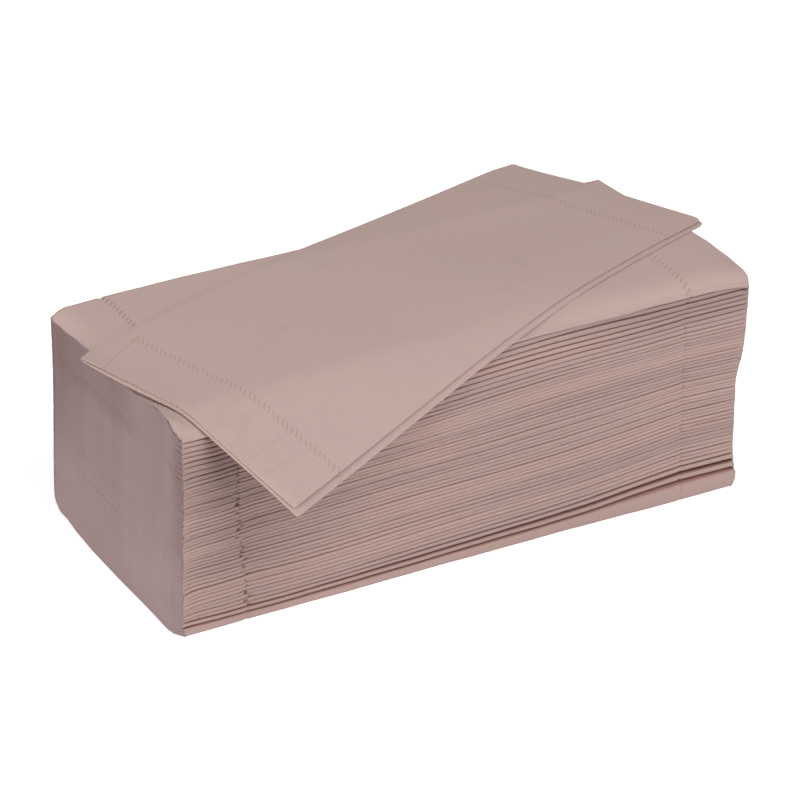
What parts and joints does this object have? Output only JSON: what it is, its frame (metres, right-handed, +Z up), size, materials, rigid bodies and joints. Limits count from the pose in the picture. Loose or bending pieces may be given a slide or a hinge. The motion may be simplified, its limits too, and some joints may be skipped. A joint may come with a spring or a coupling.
{
  "type": "folded facial tissues",
  "caption": "Stack of interfolded paper facial tissues with one tissue lying askew across the top.",
  "frame": {"origin": "centre of the stack's bottom face, at its middle in X and Y", "axes": "+X along the long side, +Y from the front long side to the back, +Z up"},
  "size_m": [0.229, 0.1553, 0.0771],
  "materials": {
    "tissue_paper": "matte, soft, lightly embossed"
  },
  "bodies": {
    "root": {"tissue_pair_01": "tissue_paper", "tissue_pair_02": "tissue_paper", "tissue_pair_03": "tissue_paper", "tissue_pair_04": "tissue_paper", "tissue_pair_05": "tissue_paper", "tissue_pair_06": "tissue_paper", "tissue_pair_07": "tissue_paper", "tissue_pair_08": "tissue_paper", "tissue_pair_09": "tissue_paper", "tissue_pair_10": "tissue_paper", "tissue_pair_11": "tissue_paper", "tissue_pair_12": "tissue_paper", "tissue_pair_13": "tissue_paper", "tissue_pair_14": "tissue_paper", "tissue_pair_15": "tissue_paper", "tissue_pair_16": "tissue_paper", "tissue_pair_17": "tissue_paper", "tissue_pair_18": "tissue_paper", "tissue_pair_19": "tissue_paper", "tissue_pair_20": "tissue_paper", "tissue_pair_21": "tissue_paper", "tissue_pair_22": "tissue_paper", "tissue_pair_23": "tissue_paper", "tissue_pair_24": "tissue_paper", "tissue_pair_25": "tissue_paper", "tissue_pair_26": "tissue_paper", "tissue_pair_27": "tissue_paper", "tissue_pair_28": "tissue_paper", "tissue_pair_29": "tissue_paper", "tissue_pair_30": "tissue_paper", "tissue_pair_31": "tissue_paper", "tissue_pair_32": "tissue_paper", "tissue_pair_33": "tissue_paper", "tissue_pair_34": "tissue_paper", "tissue_pair_35": "tissue_paper", "tissue_pair_36": "tissue_paper", "tissue_pair_37": "tissue_paper", "tissue_pair_38": "tissue_paper", "tissue_pair_39": "tissue_paper", "tissue_pair_40": "tissue_paper", "tissue_pair_41": "tissue_paper", "tissue_pair_42": "tissue_paper", "tissue_pair_43": "tissue_paper", "tissue_pair_44": "tissue_paper", "tissue_pair_45": "tissue_paper", "tissue_pair_46": "tissue_paper", "tissue_pair_47": "tissue_paper", "tissue_pair_48": "tissue_paper", "tissue_pair_49": "tissue_paper", "top_tissue": "tissue_paper", "loose_tissue": "tissue_paper"}
  },
  "joints": []
}
